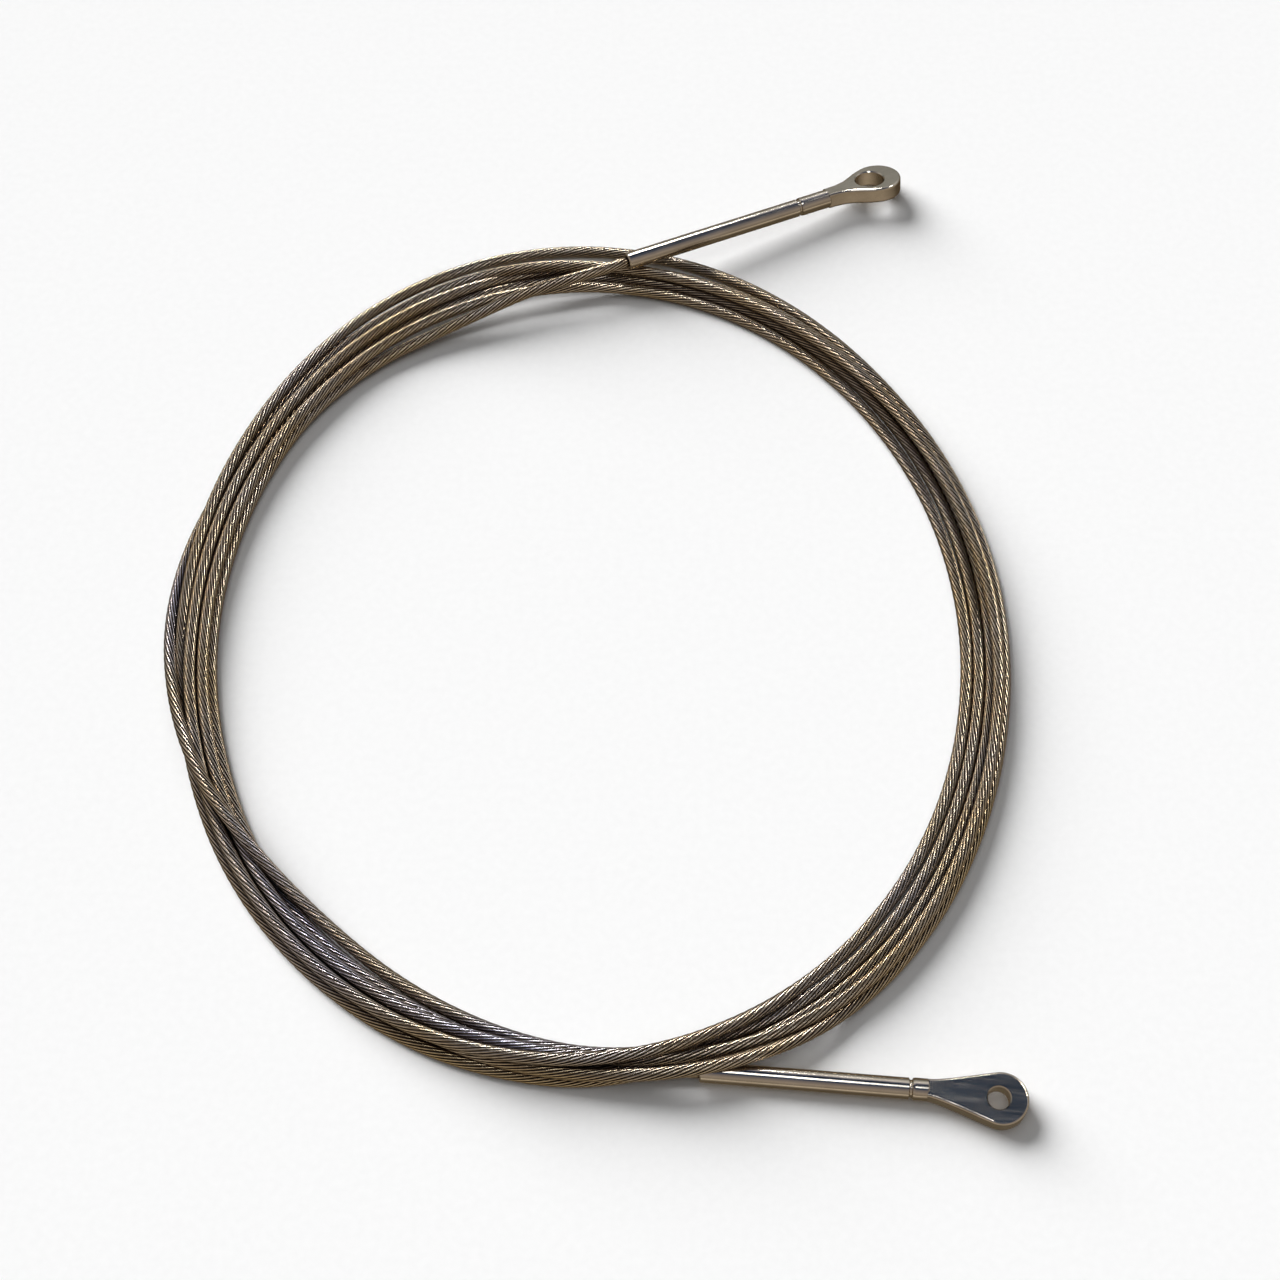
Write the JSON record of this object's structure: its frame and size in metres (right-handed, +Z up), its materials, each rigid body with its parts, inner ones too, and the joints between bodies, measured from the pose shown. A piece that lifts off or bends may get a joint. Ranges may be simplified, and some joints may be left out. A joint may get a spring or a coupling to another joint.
{
  "type": "coiled wire rope stay with swaged eye terminals",
  "caption": "Coil of bare steel wire rope, ending in a swaged marine eye terminal with a small pin hole and another with a large one.",
  "frame": {"origin": "centre of the box around the two terminals, on the surface that the coil lies on", "axes": "+Z up off that surface; the coil's long axis and the line from the small eye to the large eye run roughly along +Y; both eyes point towards +X"},
  "size_m": [0.2779, 0.3676, 0.0153],
  "materials": {
    "terminal_steel": "machined and polished stainless steel",
    "wire_steel": "drawn wire",
    "rope_steel": "stranded bright wire, slightly warm"
  },
  "bodies": {
    "root": {"lower_terminal": "terminal_steel", "upper_terminal": "terminal_steel", "lower_king_wire": "wire_steel", "lower_inner_wire_01": "wire_steel", "lower_inner_wire_02": "wire_steel", "lower_inner_wire_03": "wire_steel", "lower_inner_wire_04": "wire_steel", "lower_inner_wire_05": "wire_steel", "lower_inner_wire_06": "wire_steel", "lower_outer_wire_01": "wire_steel", "lower_outer_wire_02": "wire_steel", "lower_outer_wire_03": "wire_steel", "lower_outer_wire_04": "wire_steel", "lower_outer_wire_05": "wire_steel", "lower_outer_wire_06": "wire_steel", "lower_outer_wire_07": "wire_steel", "lower_outer_wire_08": "wire_steel", "lower_outer_wire_09": "wire_steel", "lower_outer_wire_10": "wire_steel", "lower_outer_wire_11": "wire_steel", "lower_outer_wire_12": "wire_steel", "upper_king_wire": "wire_steel", "upper_inner_wire_01": "wire_steel", "upper_inner_wire_02": "wire_steel", "upper_inner_wire_03": "wire_steel", "upper_inner_wire_04": "wire_steel", "upper_inner_wire_05": "wire_steel", "upper_inner_wire_06": "wire_steel", "upper_outer_wire_01": "wire_steel", "upper_outer_wire_02": "wire_steel", "upper_outer_wire_03": "wire_steel", "upper_outer_wire_04": "wire_steel", "upper_outer_wire_05": "wire_steel", "upper_outer_wire_06": "wire_steel", "upper_outer_wire_07": "wire_steel", "upper_outer_wire_08": "wire_steel", "upper_outer_wire_09": "wire_steel", "upper_outer_wire_10": "wire_steel", "upper_outer_wire_11": "wire_steel", "upper_outer_wire_12": "wire_steel", "rope_coil": "rope_steel", "rope_upper_lead": "rope_steel"}
  },
  "joints": []
}
